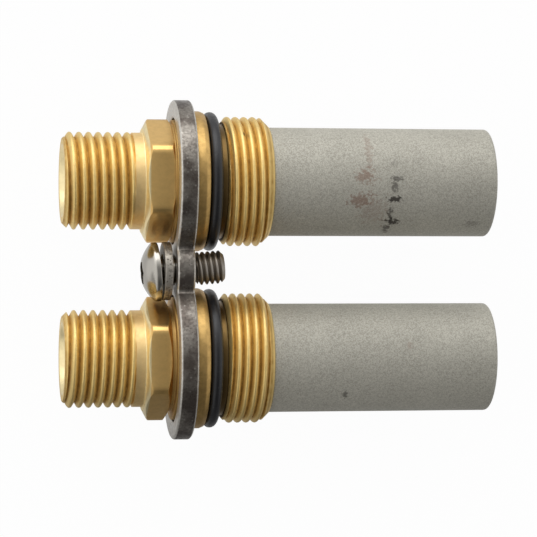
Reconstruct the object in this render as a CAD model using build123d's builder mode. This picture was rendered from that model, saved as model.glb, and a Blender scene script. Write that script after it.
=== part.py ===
from build123d import *

import os
from math import asin, cos, pi, radians, sin, sqrt, tan

# Flashback arrestor cartridge set for a gas torch handle
# Two brass cartridges, one for oxygen and one for fuel gas, sit in one steel lock plate
# that carries a captive screw with a lock washer. Each cartridge has a threaded hose
# inlet, a hexagon, a flange with an O-ring, a threaded body and a sintered steel thimble,
# and inside it a strainer and a spring-loaded non-return valve.
# Sizes are in millimetres. +X runs from the hose inlets to the thimbles, +Y from the
# fuel gas cartridge to the oxygen one, +Z up. The origin is in the plane of the flanges'
# seat faces, midway between the two cartridge axes.

# Layout
axis_spacing = 26.0
inlet_reach = 20.7
thimble_reach = 42.7

# Unified 60 degree thread form, as shares of the pitch
flank_slope = tan(radians(30.0))
crest_share = 0.125
depth_share = 0.6134

# Hose inlet, 9/16-18
inlet_thread_r = 7.144
inlet_pitch = 1.411
inlet_lead_chamfer = 0.91
inlet_neck_r = 6.95
inlet_neck_length = 1.9
inlet_mouth_r = 5.2
inlet_bore_r = 3.2
inlet_cone_half_angle = 30.0

# Hexagon, 16 across flats, with its long corners turned off
hex_across_flats = 16.0
hex_corner_turning = 0.19
hex_chamfer_start_r = 7.6
hex_chamfer_angle = 28.0
oxygen_hex_length = 4.1
oxygen_collar_r = 8.4
oxygen_collar_length = 0.2
fuel_hex_length = 3.75
fuel_collar_r = 7.7
fuel_collar_length = 0.5

# Pilot, flange and O-ring neck
pilot_r = 9.0
flange_r = 10.3
flange_thickness = 2.0
flange_edge = 0.2
flange_seat_chamfer = 0.6
seal_neck_r = 8.4
seal_neck_length = 2.65
o_ring_section_r = 0.89
o_ring_clearance = 0.02

# Body thread, 3/4-20
body_thread_r = 9.525
body_pitch = 1.27
body_reach = 9.48
body_end_chamfer = 1.3
body_thread_setback = 0.25

# Valve passages in the body
valve_seat_depth = 8.0
port_r = 2.5
chamber_r = 5.0
socket_r = 7.52
socket_floor = 3.0

# Sintered thimble
thimble_r = 8.0
thimble_spigot_clearance = 0.02
thimble_wall = 2.5
thimble_end_thickness = 3.0
thimble_end_round = 0.7
thimble_inner_round = 1.0

# Strainer in the inlet bore
strainer_shoulder_depth = 13.0
strainer_thickness = 0.4
strainer_hole_r = 0.35
strainer_row_step = 0.95
strainer_inner_holes = 6
strainer_outer_holes = 12
strainer_ring_length = 1.0
strainer_fit_clearance = 0.02

# Non-return valve
seat_clearance = 0.02
poppet_seal_r = 3.8
poppet_seal_thickness = 0.9
poppet_boss_r = 1.5
poppet_boss_recess = 0.15
poppet_disc_r = 4.2
poppet_disc_thickness = 1.4
poppet_stem_r = 1.2
poppet_stem_length = 7.2
poppet_travel = 1.5
poppet_edge = 0.2
stem_clearance = 0.05
stop_clearance = 0.03
seal_bore_clearance = 0.02

# Spring cage
cage_flange_thickness = 0.8
cage_flange_clearance = 0.1
cage_sleeve_r = 2.3
cage_port_count = 8
cage_port_r = 0.7
cage_port_circle_r = 4.2

# Valve spring
spring_mean_r = 2.9
spring_wire_r = 0.25
spring_turns = 5.5
spring_end_clearance = 0.02

# Lock plate
plate_thickness = 2.6
plate_lobe_r = 11.9
plate_hole_clearance = 0.3
plate_flange_gap = 0.02
plate_hex_play = 0.13
plate_edge = 0.25
plate_ear_r = 4.6
plate_web_low = 3.6
plate_crease_r = 0.5
screw_height = 3.4

# Captive screw, 10-32 by 3/8, which leans in its hole
screw_thread_r = 2.413
screw_pitch = 0.794
screw_length = 9.525
screw_lean = 4.5
screw_neck_r = 1.8
screw_hole_clearance = 0.3
screw_thread_setback = 0.3
screw_tip_chamfer = 0.55
screw_head_r = 4.3
screw_head_height = 2.7
screw_head_rim = 0.8
screw_head_edge = 0.15
drive_across_flats = 3.175
drive_depth = 1.6

# Split lock washer
washer_r = 4.24
washer_hole_r = 2.5
washer_thickness = 1.19
washer_split = 0.6
washer_split_angle = 25.0
washer_plate_gap = 0.6
washer_head_gap = 0.5

# Places along X that several pieces share
plate_right = -flange_thickness - plate_flange_gap
plate_left = plate_right - plate_thickness
collar_right = plate_left - plate_hex_play
washer_right = plate_left - washer_plate_gap
washer_left = washer_right - washer_thickness
head_seat = washer_left - washer_head_gap
seat_x = -valve_seat_depth
seal_front = seat_x + seat_clearance
seal_back = seal_front + poppet_seal_thickness
poppet_back = seal_back + poppet_disc_thickness
sleeve_front = poppet_back + poppet_travel + stop_clearance
cage_back = socket_floor + cage_flange_thickness
stem_guide_r = poppet_stem_r + stem_clearance
thimble_shoulder = body_reach + thimble_spigot_clearance
thimble_spigot_r = socket_r - thimble_spigot_clearance
thimble_inner_r = thimble_r - thimble_wall
strainer_r = inlet_bore_r - strainer_fit_clearance
strainer_back = -strainer_shoulder_depth - strainer_fit_clearance
strainer_front = strainer_back - strainer_thickness
plate_hole_r = pilot_r + plate_hole_clearance
screw_hole_r = screw_neck_r + screw_hole_clearance
screw_pivot_x = plate_left + plate_thickness / 2


def long_plane(side):
    """Plane through a cartridge axis: local x runs along the axis and local y is the radius."""
    return Plane(origin=(0, side * axis_spacing / 2, 0), x_dir=(1, 0, 0), z_dir=(0, 0, 1))


def cross_plane(x, y=0.0, z=0.0):
    """Plane square to X: local x is +Y, local y is +Z, and it faces +X."""
    return Plane(origin=(x, y, z), x_dir=(0, 1, 0), z_dir=(1, 0, 0))


def turning_axis(side):
    """Axis of one cartridge, pointing from the inlet to the thimble."""
    return Axis((0, side * axis_spacing / 2, 0), (1, 0, 0))


def ridge_half_base(pitch):
    """Half the width of a vee ridge at its root."""
    return (crest_share / 2 + depth_share * flank_slope) * pitch


def thread_ridge(middle, pitch, major_r):
    """Corners of one vee ridge as (x, radius) points, from root to root."""
    depth = depth_share * pitch
    half_crest = crest_share * pitch / 2
    half_base = ridge_half_base(pitch)
    return [
        (middle - half_base, major_r - depth),
        (middle - half_crest, major_r),
        (middle + half_crest, major_r),
        (middle + half_base, major_r - depth),
    ]


def thread_ridges(first_middle, last_middle, pitch, major_r):
    """Corners of all ridges whose middles lie between two places."""
    count = int((last_middle - first_middle) / pitch) + 1
    points = []
    for turn in range(count):
        points += thread_ridge(first_middle + turn * pitch, pitch, major_r)
    return points


def make_body(side, hex_length, collar_r, collar_length):
    """Turned and threaded brass body of one cartridge."""
    hex_right = collar_right - collar_length
    hex_left = hex_right - hex_length
    hex_turned_r = hex_across_flats / 2 / cos(pi / 6) - hex_corner_turning
    hex_front_chamfer = (hex_turned_r - hex_chamfer_start_r) * tan(radians(hex_chamfer_angle))
    hex_rear_chamfer = (hex_turned_r - collar_r) * tan(radians(hex_chamfer_angle))
    inlet_root_r = inlet_thread_r - depth_share * inlet_pitch
    body_root_r = body_thread_r - depth_share * body_pitch
    first_inlet_ridge = -inlet_reach + inlet_lead_chamfer + crest_share * inlet_pitch / 2
    last_inlet_ridge = hex_left - inlet_neck_length
    inlet_ridges = thread_ridges(first_inlet_ridge, last_inlet_ridge, inlet_pitch, inlet_thread_r)
    first_body_ridge = seal_neck_length + body_thread_setback + ridge_half_base(body_pitch)
    last_body_ridge = body_reach - ridge_half_base(body_pitch)
    body_ridges = thread_ridges(first_body_ridge, last_body_ridge, body_pitch, body_thread_r)
    last_crest_end = inlet_ridges[-2]
    neck_start = last_crest_end[0] + (inlet_thread_r - inlet_neck_r) * flank_slope
    mouth_depth = (inlet_mouth_r - inlet_bore_r) / tan(radians(inlet_cone_half_angle))

    with BuildPart() as body:
        # Hexagon with its corners towards the other cartridge
        with BuildSketch(cross_plane(hex_left, side * axis_spacing / 2)):
            RegularPolygon(radius=hex_across_flats / 2, side_count=6, major_radius=False)
        extrude(amount=hex_length)

        # Inlet thread, neck, collar, pilot, flange, O-ring neck and body thread in one outline
        with BuildSketch(long_plane(side)):
            with BuildLine():
                Polyline(
                    (-inlet_reach, 0),
                    (-inlet_reach, inlet_root_r),
                    *inlet_ridges[:-1],
                    (neck_start, inlet_neck_r),
                    (hex_left, inlet_neck_r),
                    (hex_right, inlet_neck_r),
                    (hex_right, collar_r),
                    (collar_right, collar_r),
                    (collar_right, pilot_r),
                    (-flange_thickness, pilot_r),
                    (-flange_thickness, flange_r),
                    (0, flange_r),
                    (0, seal_neck_r),
                    (seal_neck_length, seal_neck_r),
                    (seal_neck_length, body_root_r),
                    *body_ridges,
                    (body_reach, body_root_r),
                    (body_reach, 0),
                    close=True,
                )
            make_face()
        revolve(axis=turning_axis(side))

        # Lead-in chamfers, the hexagon's turned corners and the broken flange edges
        with BuildSketch(long_plane(side)):
            with BuildLine():
                Polyline(
                    (-inlet_reach, 0),
                    (-inlet_reach, inlet_thread_r - inlet_lead_chamfer),
                    (-inlet_reach + inlet_lead_chamfer, inlet_thread_r),
                    (hex_left, hex_chamfer_start_r),
                    (hex_left + hex_front_chamfer, hex_turned_r),
                    (hex_right - hex_rear_chamfer, hex_turned_r),
                    (hex_right, collar_r),
                    (collar_right, collar_r),
                    (collar_right, pilot_r),
                    (-flange_thickness, flange_r - flange_edge),
                    (-flange_thickness + flange_edge, flange_r),
                    (-flange_seat_chamfer, flange_r),
                    (0, flange_r - flange_seat_chamfer),
                    (seal_neck_length, body_thread_r),
                    (body_reach - body_end_chamfer, body_thread_r),
                    (body_reach, body_thread_r - body_end_chamfer),
                    (body_reach, 0),
                    close=True,
                )
            make_face()
        revolve(axis=turning_axis(side), mode=Mode.INTERSECT)

        # Coned mouth, strainer bore, valve port, valve chamber and thimble socket
        with BuildSketch(long_plane(side)):
            with BuildLine():
                Polyline(
                    (-inlet_reach, 0),
                    (-inlet_reach, inlet_mouth_r),
                    (-inlet_reach + mouth_depth, inlet_bore_r),
                    (-strainer_shoulder_depth, inlet_bore_r),
                    (-strainer_shoulder_depth, port_r),
                    (seat_x, port_r),
                    (seat_x, chamber_r),
                    (socket_floor, chamber_r),
                    (socket_floor, socket_r),
                    (body_reach, socket_r),
                    (body_reach, 0),
                    close=True,
                )
            make_face()
        revolve(axis=turning_axis(side), mode=Mode.SUBTRACT)
    return body.part


def make_o_ring(side):
    """Black O-ring on the neck, against the flange's seat face."""
    ring_x = o_ring_section_r + o_ring_clearance
    ring_r = seal_neck_r + o_ring_clearance + o_ring_section_r
    with BuildPart() as o_ring:
        with BuildSketch(long_plane(side)):
            with Locations((ring_x, ring_r)):
                Circle(o_ring_section_r)
        revolve(axis=turning_axis(side))
    return o_ring.part


def make_thimble(side):
    """Sintered thimble, closed at its free end, with a spigot in the body's socket."""
    bore_end = thimble_reach - thimble_end_thickness
    spigot_start = cage_back + thimble_spigot_clearance
    with BuildPart() as thimble:
        with BuildSketch(long_plane(side)) as outline:
            with BuildLine():
                Polyline(
                    (spigot_start, 0),
                    (spigot_start, thimble_spigot_r),
                    (thimble_shoulder, thimble_spigot_r),
                    (thimble_shoulder, thimble_r),
                    (thimble_reach, thimble_r),
                    (thimble_reach, 0),
                    close=True,
                )
            make_face()
            free_edge = outline.vertices().sort_by(Axis.X)[-2:].sort_by(Axis.Y)[-1]
            fillet(free_edge, radius=thimble_end_round)
        revolve(axis=turning_axis(side))
        with BuildSketch(long_plane(side)) as cavity:
            with BuildLine():
                Polyline(
                    (spigot_start, 0),
                    (spigot_start, thimble_inner_r),
                    (bore_end, thimble_inner_r),
                    (bore_end, 0),
                    close=True,
                )
            make_face()
            closed_corner = cavity.vertices().sort_by(Axis.X)[-2:].sort_by(Axis.Y)[-1]
            fillet(closed_corner, radius=thimble_inner_round)
        revolve(axis=turning_axis(side), mode=Mode.SUBTRACT)
    return thimble.part


def make_strainer_screen(side):
    """Perforated disc against the shoulder in the inlet bore."""
    with BuildPart() as screen:
        with BuildSketch(cross_plane(strainer_front, side * axis_spacing / 2)):
            Circle(strainer_r)
            Circle(strainer_hole_r, mode=Mode.SUBTRACT)
            with PolarLocations(strainer_row_step, strainer_inner_holes):
                Circle(strainer_hole_r, mode=Mode.SUBTRACT)
            with PolarLocations(2 * strainer_row_step, strainer_outer_holes):
                Circle(strainer_hole_r, mode=Mode.SUBTRACT)
        extrude(amount=strainer_thickness)
    return screen.part


def make_strainer_ring(side):
    """Ring that holds the strainer against its shoulder."""
    ring_start = strainer_front - strainer_ring_length
    with BuildPart() as ring:
        with BuildSketch(cross_plane(ring_start, side * axis_spacing / 2)):
            Circle(strainer_r)
            Circle(port_r, mode=Mode.SUBTRACT)
        extrude(amount=strainer_ring_length)
    return ring.part


def make_poppet(side):
    """Valve poppet: a boss for the seal, a disc, and a stem guided by the cage."""
    with BuildPart() as poppet:
        with BuildSketch(long_plane(side)):
            with BuildLine():
                Polyline(
                    (seal_front + poppet_boss_recess, 0),
                    (seal_front + poppet_boss_recess, poppet_boss_r),
                    (seal_back, poppet_boss_r),
                    (seal_back, poppet_disc_r - poppet_edge),
                    (seal_back + poppet_edge, poppet_disc_r),
                    (poppet_back - poppet_edge, poppet_disc_r),
                    (poppet_back, poppet_disc_r - poppet_edge),
                    (poppet_back, poppet_stem_r),
                    (poppet_back + poppet_stem_length - poppet_edge, poppet_stem_r),
                    (poppet_back + poppet_stem_length, poppet_stem_r - poppet_edge),
                    (poppet_back + poppet_stem_length, 0),
                    close=True,
                )
            make_face()
        revolve(axis=turning_axis(side))
    return poppet.part


def make_poppet_seal(side):
    """Flat rubber seal around the poppet's boss."""
    with BuildPart() as seal:
        with BuildSketch(cross_plane(seal_front, side * axis_spacing / 2)):
            Circle(poppet_seal_r)
            Circle(poppet_boss_r + seal_bore_clearance, mode=Mode.SUBTRACT)
        extrude(amount=poppet_seal_thickness)
    return seal.part


def make_spring_cage(side):
    """Disc with flow ports and a guide sleeve, clamped by the thimble's spigot."""
    with BuildPart() as cage:
        with BuildSketch(cross_plane(socket_floor, side * axis_spacing / 2)):
            Circle(socket_r - cage_flange_clearance)
            with PolarLocations(cage_port_circle_r, cage_port_count):
                Circle(cage_port_r, mode=Mode.SUBTRACT)
        extrude(amount=cage_flange_thickness)
        with BuildSketch(cross_plane(sleeve_front, side * axis_spacing / 2)):
            Circle(cage_sleeve_r)
        extrude(amount=cage_back - sleeve_front)
        with BuildSketch(cross_plane(sleeve_front, side * axis_spacing / 2)):
            Circle(stem_guide_r)
        extrude(amount=cage_back - sleeve_front, mode=Mode.SUBTRACT)
    return cage.part


def make_valve_spring(side):
    """Closing spring between the poppet's disc and the cage."""
    coil_start = poppet_back + spring_wire_r + spring_end_clearance
    coil_length = socket_floor - spring_wire_r - spring_end_clearance - coil_start
    with BuildPart() as spring:
        with BuildLine() as coil:
            Helix(
                pitch=coil_length / spring_turns,
                height=coil_length,
                radius=spring_mean_r,
                center=(coil_start, side * axis_spacing / 2, 0),
                direction=(1, 0, 0),
            )
        with BuildSketch(Plane(origin=coil.line @ 0, z_dir=coil.line % 0)):
            Circle(spring_wire_r)
        sweep(is_frenet=True)
    return spring.part


def make_lock_plate():
    """Steel plate with two lobes, and an ear between them for the screw."""
    lobe_places = [(-axis_spacing / 2, 0), (axis_spacing / 2, 0)]
    web_half_width = axis_spacing / 2 - sqrt(plate_lobe_r**2 - plate_web_low**2)
    crease_r = min(plate_crease_r, web_half_width / 2)
    with BuildPart() as plate:
        with BuildSketch(cross_plane(plate_left)) as outline:
            with Locations(*lobe_places):
                Circle(plate_lobe_r)
            with Locations((0, screw_height)):
                Circle(plate_ear_r)
            with Locations((0, (screw_height - plate_web_low) / 2)):
                Rectangle(axis_spacing, screw_height + plate_web_low)
            creases = outline.vertices().filter_by(lambda v: abs(v.X) < axis_spacing / 4)
            fillet(creases, radius=crease_r)
            with Locations(*lobe_places):
                Circle(plate_hole_r, mode=Mode.SUBTRACT)
            with Locations((0, screw_height)):
                Circle(screw_hole_r, mode=Mode.SUBTRACT)
        extrude(amount=plate_thickness)
        chamfer(plate.faces().filter_by(Axis.X).edges(), length=plate_edge)
    return plate.part


def make_lock_screw():
    """Captive screw with a domed head, a relieved neck and a threaded end."""
    lean = radians(screw_lean)
    along = (cos(lean), sin(lean), 0)
    axial = Plane(origin=(screw_pivot_x, 0, screw_height), x_dir=along, z_dir=(0, 0, 1))
    seat = (head_seat - screw_pivot_x) / cos(lean)
    apex = seat - screw_head_height
    dome_height = screw_head_height - screw_head_rim
    dome_r = (screw_head_r**2 + dome_height**2) / (2 * dome_height)
    dome_middle = asin(screw_head_r / dome_r) / 2
    outside_r = screw_head_r + screw_head_edge
    tip = seat + screw_length
    plate_exit = (plate_right - screw_pivot_x) / cos(lean) + screw_thread_r * tan(lean)
    first_ridge = plate_exit + screw_thread_setback + ridge_half_base(screw_pitch)
    root_r = screw_thread_r - depth_share * screw_pitch
    ridges = thread_ridges(first_ridge, tip - screw_tip_chamfer / 2, screw_pitch, screw_thread_r)
    with BuildPart() as screw:
        with BuildSketch(axial):
            with BuildLine():
                ThreePointArc(
                    (apex, 0),
                    (apex + dome_r * (1 - cos(dome_middle)), dome_r * sin(dome_middle)),
                    (seat - screw_head_rim, screw_head_r),
                )
                Polyline(
                    (seat - screw_head_rim, screw_head_r),
                    (seat - screw_head_edge, screw_head_r),
                    (seat, screw_head_r - screw_head_edge),
                    (seat, screw_neck_r),
                    (first_ridge - screw_pitch / 2, screw_neck_r),
                    *ridges,
                    (tip, root_r),
                    (tip, 0),
                    (apex, 0),
                )
            make_face()
        revolve(axis=Axis((screw_pivot_x, 0, screw_height), along))

        # Chamfered tip
        with BuildSketch(axial):
            with BuildLine():
                Polyline(
                    (apex, 0),
                    (apex, outside_r),
                    (seat, outside_r),
                    (seat, screw_thread_r),
                    (tip - screw_tip_chamfer, screw_thread_r),
                    (tip, screw_thread_r - screw_tip_chamfer),
                    (tip, 0),
                    close=True,
                )
            make_face()
        revolve(axis=Axis((screw_pivot_x, 0, screw_height), along), mode=Mode.INTERSECT)

        # Hexagon socket in the crown of the head
        crown = axial.from_local_coords(Vector(apex, 0, 0))
        with BuildSketch(Plane(origin=crown, x_dir=(0, 0, 1), z_dir=along)):
            RegularPolygon(radius=drive_across_flats / 2, side_count=6, major_radius=False)
        extrude(amount=drive_depth, mode=Mode.SUBTRACT)
    return screw.part


def make_lock_washer():
    """Split lock washer, square to the plate and centred on the leaning screw."""
    washer_middle = washer_left + washer_thickness / 2
    washer_y = (washer_middle - screw_pivot_x) * tan(radians(screw_lean))
    with BuildPart() as washer:
        with BuildSketch(cross_plane(washer_left, washer_y, screw_height)):
            Circle(washer_r)
            Circle(washer_hole_r, mode=Mode.SUBTRACT)
        extrude(amount=washer_thickness)
        split_plane = Plane(
            origin=(washer_middle, washer_y, screw_height), x_dir=(1, 0, 0), z_dir=(0, 0, -1)
        )
        with BuildSketch(split_plane):
            Rectangle(3 * washer_thickness, washer_split, rotation=washer_split_angle)
        extrude(amount=washer_r + washer_split, mode=Mode.SUBTRACT)
    return washer.part


os.makedirs("parts", exist_ok=True)
pieces = {}
for name, side, hex_length, collar_r, collar_length in (
    ("oxygen", 1, oxygen_hex_length, oxygen_collar_r, oxygen_collar_length),
    ("fuel", -1, fuel_hex_length, fuel_collar_r, fuel_collar_length),
):
    pieces[name + "_body"] = make_body(side, hex_length, collar_r, collar_length)
    pieces[name + "_body_o_ring"] = make_o_ring(side)
    pieces[name + "_arrestor_thimble"] = make_thimble(side)
    pieces[name + "_strainer_screen"] = make_strainer_screen(side)
    pieces[name + "_strainer_ring"] = make_strainer_ring(side)
    pieces[name + "_valve_poppet"] = make_poppet(side)
    pieces[name + "_poppet_seal"] = make_poppet_seal(side)
    pieces[name + "_spring_cage"] = make_spring_cage(side)
    pieces[name + "_valve_spring"] = make_valve_spring(side)
pieces["lock_plate"] = make_lock_plate()
pieces["lock_screw"] = make_lock_screw()
pieces["lock_washer"] = make_lock_washer()

for name, piece in pieces.items():
    piece.label = name
    export_step(piece, f"parts/{name}.step")
    print(name, round(piece.volume, 3))
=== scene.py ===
from math import acos, atan2, ceil, cos, floor, hypot, pi, radians, sin, tan

import bmesh
import bpy
from bpy.props import FloatProperty, FloatVectorProperty, PointerProperty
from mathutils import Matrix, Vector


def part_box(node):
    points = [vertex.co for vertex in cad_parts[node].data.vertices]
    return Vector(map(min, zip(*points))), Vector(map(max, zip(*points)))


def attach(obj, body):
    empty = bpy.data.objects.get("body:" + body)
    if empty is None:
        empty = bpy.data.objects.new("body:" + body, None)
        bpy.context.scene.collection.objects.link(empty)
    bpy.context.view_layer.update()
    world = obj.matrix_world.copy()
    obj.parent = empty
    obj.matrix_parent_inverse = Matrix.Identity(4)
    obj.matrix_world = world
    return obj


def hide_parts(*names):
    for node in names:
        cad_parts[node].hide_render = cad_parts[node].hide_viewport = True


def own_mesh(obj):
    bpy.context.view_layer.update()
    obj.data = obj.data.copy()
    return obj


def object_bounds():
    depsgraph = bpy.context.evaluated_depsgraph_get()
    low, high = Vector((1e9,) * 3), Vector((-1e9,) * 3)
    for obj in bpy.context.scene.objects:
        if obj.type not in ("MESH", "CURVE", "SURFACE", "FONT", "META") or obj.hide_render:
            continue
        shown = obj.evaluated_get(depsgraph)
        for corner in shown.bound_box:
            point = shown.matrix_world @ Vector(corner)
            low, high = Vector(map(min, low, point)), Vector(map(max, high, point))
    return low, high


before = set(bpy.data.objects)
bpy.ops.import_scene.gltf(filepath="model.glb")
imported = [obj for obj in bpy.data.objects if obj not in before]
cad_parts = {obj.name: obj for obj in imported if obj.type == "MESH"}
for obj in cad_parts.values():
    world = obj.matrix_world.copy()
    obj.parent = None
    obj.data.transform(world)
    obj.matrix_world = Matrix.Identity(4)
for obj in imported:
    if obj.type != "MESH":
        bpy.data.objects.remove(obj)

bl_info = {
    "name": "Flashback Arrestor Cartridge Set",
    "version": (1, 0, 0),
    "blender": (4, 5, 0),
    "location": "3D View > Sidebar > Cartridge",
    "description": "Models and finishes a pair of torch handle arrestor cartridges in their lock plate",
    "category": "Object",
}

# The scene is in metres. +X runs from the hose inlets to the thimbles, +Y from the fuel gas
# cartridge to the oxygen one, +Z up towards the camera.
MM = 0.001

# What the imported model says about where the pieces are
cad_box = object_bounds()
body_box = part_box("oxygen_body")
thimble_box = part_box("oxygen_arrestor_thimble")
o_ring_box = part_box("oxygen_body_o_ring")
plate_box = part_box("lock_plate")
washer_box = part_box("lock_washer")
spring_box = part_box("oxygen_valve_spring")
axis_y = (body_box[0].y + body_box[1].y) / 2

BODY = "cartridge_set"
SIDES = (("oxygen", 1), ("fuel", -1))

# How the meshes are merged, shaded and divided
MERGE_DISTANCE = 0.0005 * MM
SHARP_ANGLE = radians(26.0)
FLAT_ANGLE = radians(0.5)
STEPS_PER_SIXTH = 20
RING_STEPS = 6 * STEPS_PER_SIXTH
CORNER_STEPS = 2
O_RING_POINTS = 28
DOME_POINTS = 16
WIRE_POINTS = 16
WIRE_STEPS_PER_TURN = 48

# Form of the vee threads: shares of the pitch, the flanks' slope, and the cuts that divide each
# flank, which is any line of the section longer than its share
THREAD_DEPTH_SHARE = 0.6134
THREAD_CREST_SHARE = 0.26
THREAD_CREST_ROUND_SHARE = 0.125
THREAD_ROOT_ROUND_SHARE = 0.015
THREAD_FLANK_SHARE = 0.4
THREAD_FLANK_SLOPE = tan(radians(30.0))
THREAD_FLANK_CUTS = 4

# Corners of the flange's rounded seat edge, back from its face and in from its rim, as shares
# of the seat chamfer
SEAT_EDGE = ((1.2, 0.0), (0.2, 0.42), (0.0, 1.0))

# Marks on the bodies and thimbles: centre from the flange's seat face and the axis, reach, both
# in millimetres, colour and strength
BODY_MARKS = {"oxygen": (((5.3, 6.7, 6.4), (0.4, 0.4, 0.6), "pit_and_neck_shade", 1.0),), "fuel": ()}
THIMBLE_MARKS = {
    "oxygen": (
        ((23.5, 4.8, 6.2), (0.6, 4.2, 3.0), "heat_tint", 0.3),
        ((23.0, 0.6, 7.8), (1.5, 1.1, 2.0), "heat_tint", 0.6),
        ((22.3, -2.8, 7.3), (1.9, 1.0, 2.0), "heat_tint", 0.65),
        ((24.3, -4.4, 6.5), (2.4, 2.6, 2.6), "heat_tint", 0.25),
        ((27.3, 2.5, 7.4), (0.8, 0.7, 1.5), "soot", 0.2),
        ((27.5, 0.3, 7.8), (1.0, 0.4, 1.5), "soot", 0.6),
        ((27.3, -0.8, 7.8), (0.6, 0.8, 1.5), "soot", 0.6),
        ((27.3, -2.7, 7.3), (1.1, 0.5, 1.5), "soot", 0.9),
        ((26.8, -4.6, 6.3), (0.4, 1.3, 1.5), "soot", 0.7),
        ((27.3, -5.9, 5.0), (1.1, 0.6, 1.5), "soot", 0.9),
        ((26.6, -6.8, 3.9), (0.5, 1.0, 1.5), "soot", 0.7),
        ((39.5, -6.2, 4.8), (1.3, 0.5, 1.5), "soot", 0.3),
    ),
    "fuel": (
        ((20.2, -5.2, 5.9), (0.5, 0.6, 1.2), "soot", 0.6),
        ((29.5, 2.0, 7.6), (0.5, 0.5, 1.5), "heat_tint", 0.3),
    ),
}

# Brightness of the floor that the metal mirrors, by place in metres, and of the studio, by
# direction: axis, from, to, level before and level past
# The floor's rows paint a shadow of the cartridges, darker towards -Y, and a pool of light, brighter
# towards -X
FLOOR_PAINTED_LIGHT = (("X", -0.05, -0.03, 0.25, 0.0), ("Y", -0.045, -0.005, 0.15, 0.75))
STUDIO_GLOW = (
    ("Y", 0.2, 0.95, 1.0, 4.6),
    ("Y", -0.7, -0.1, -0.65, 0.0),
    ("X", -0.7, -0.05, 2.8, 0.0),
    ("X", 0.3, 0.85, 0.0, 2.2),
)
FLOOR_PAINT = (0.85, 0.85, 0.85, 1.0)
FLOOR_REACH = 3.0
FLOOR_GLOW_SHARE = 0.97
WHITE = (1.0, 1.0, 1.0, 1.0)
SENSOR_WIDTH = 36.0
CAMERA_CLIP = (0.01, 10.0)


def length_size(name, description, millimetres):
    value = millimetres * MM
    return FloatProperty(name=name, description=description, default=value, unit="LENGTH", precision=6)


def angle_size(name, description, degrees):
    return FloatProperty(name=name, description=description, default=radians(degrees), unit="ROTATION")


def place_size(name, description, metres):
    return FloatVectorProperty(
        name=name, description=description, default=metres, subtype="TRANSLATION", unit="LENGTH"
    )


def finish_colour(name, description, *display):
    """Colour whose default is a display colour from 0 to 255."""
    linear = []
    for value in display:
        share = value / 255
        linear.append(share / 12.92 if share <= 0.04045 else ((share + 0.055) / 1.055) ** 2.4)
    default = (*linear, 1.0)
    return FloatVectorProperty(
        name=name, description=description, default=default, subtype="COLOR", size=4, min=0.0, max=1.0
    )


class CartridgeBodySizes(bpy.types.PropertyGroup):
    """Sizes of the turned and threaded brass bodies"""

    inlet_crest: length_size("Inlet thread", "Crest radius of the hose thread", 7.144)
    inlet_pitch: length_size("Inlet pitch", "Advance of the hose thread in one turn", 1.411)
    inlet_crest_place: length_size("Inlet crest place", "Where a crest crosses the outer side", -19.7)
    inlet_chamfer: length_size("Inlet chamfer", "Lead-in chamfer of the hose thread", 0.91)
    inlet_neck: length_size("Inlet neck", "Radius of the plain neck before the hexagon", 7.08)
    inlet_neck_length: length_size("Neck length", "Plain length before the hexagon", 1.5)
    inlet_runout: length_size("Inlet runout", "Length over which the hose thread runs out", 0.45)
    mouth: length_size("Mouth", "Radius of the coned mouth at the inlet face", 5.2)
    mouth_slope: angle_size("Mouth slope", "Slope of the coned mouth from its axis", 30.0)
    bore: length_size("Bore", "Radius of the inlet bore", 3.2)
    across_flats: length_size("Across flats", "Width of the hexagon", 16.0)
    corner_turning: length_size("Corner turning", "Depth turned off the long corners", 0.19)
    hex_chamfer_start: length_size("Chamfer start", "Radius at which the front chamfer starts", 7.6)
    hex_chamfer_angle: angle_size("Chamfer angle", "Slope of the hexagon's chamfers", 28.0)
    collar_back: length_size("Collar back", "Place of the collar's rear face along X", -4.75)
    oxygen_hex: length_size("Oxygen hexagon", "Length of the oxygen hexagon", 4.1)
    oxygen_collar: length_size("Oxygen collar", "Radius of its collar", 8.4)
    oxygen_collar_length: length_size("Oxygen collar length", "Length of its collar", 0.2)
    oxygen_crest_place: length_size("Oxygen crest place", "Where a body thread crest crosses", 3.44)
    fuel_hex: length_size("Fuel hexagon", "Length of the fuel gas hexagon", 3.75)
    fuel_collar: length_size("Fuel collar", "Radius of its collar", 7.7)
    fuel_collar_length: length_size("Fuel collar length", "Length of its collar", 0.5)
    fuel_crest_place: length_size("Fuel crest place", "Where a body thread crest crosses", 3.79)
    pilot: length_size("Pilot", "Radius of the pilot inside the lock plate", 9.0)
    flange: length_size("Flange", "Radius of the flange", body_box[1].z / MM)
    flange_thickness: length_size("Flange thickness", "Thickness of the flange", 2.0)
    seat_chamfer: length_size("Seat chamfer", "Chamfer of the flange's seat face", 0.6)
    seal_neck: length_size("Seal neck", "Radius under the O-ring", 8.4)
    seal_neck_length: length_size("Seal neck length", "Length of the O-ring neck", 2.65)
    body_crest: length_size("Body thread", "Crest radius of the body thread", 9.525)
    body_pitch: length_size("Body pitch", "Advance of the body thread in one turn", 1.27)
    body_chamfer: length_size("Body chamfer", "End chamfer of the body thread", 1.3)
    body_lead: length_size("Body lead", "Length over which the body thread rises", 0.6)
    port: length_size("Port", "Radius of the valve port", 2.5)
    chamber: length_size("Chamber", "Radius of the valve chamber", 5.0)
    socket: length_size("Socket", "Radius of the thimble socket", 7.52)
    screen_shoulder: length_size("Screen shoulder", "Place of the strainer shoulder", -13.0)
    valve_seat: length_size("Valve seat", "Place of the valve seat along X", -8.0)
    socket_floor: length_size("Socket floor", "Place of the socket's floor along X", 3.0)
    edge_break: length_size("Edge break", "Width of a broken edge", 0.1)


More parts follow.
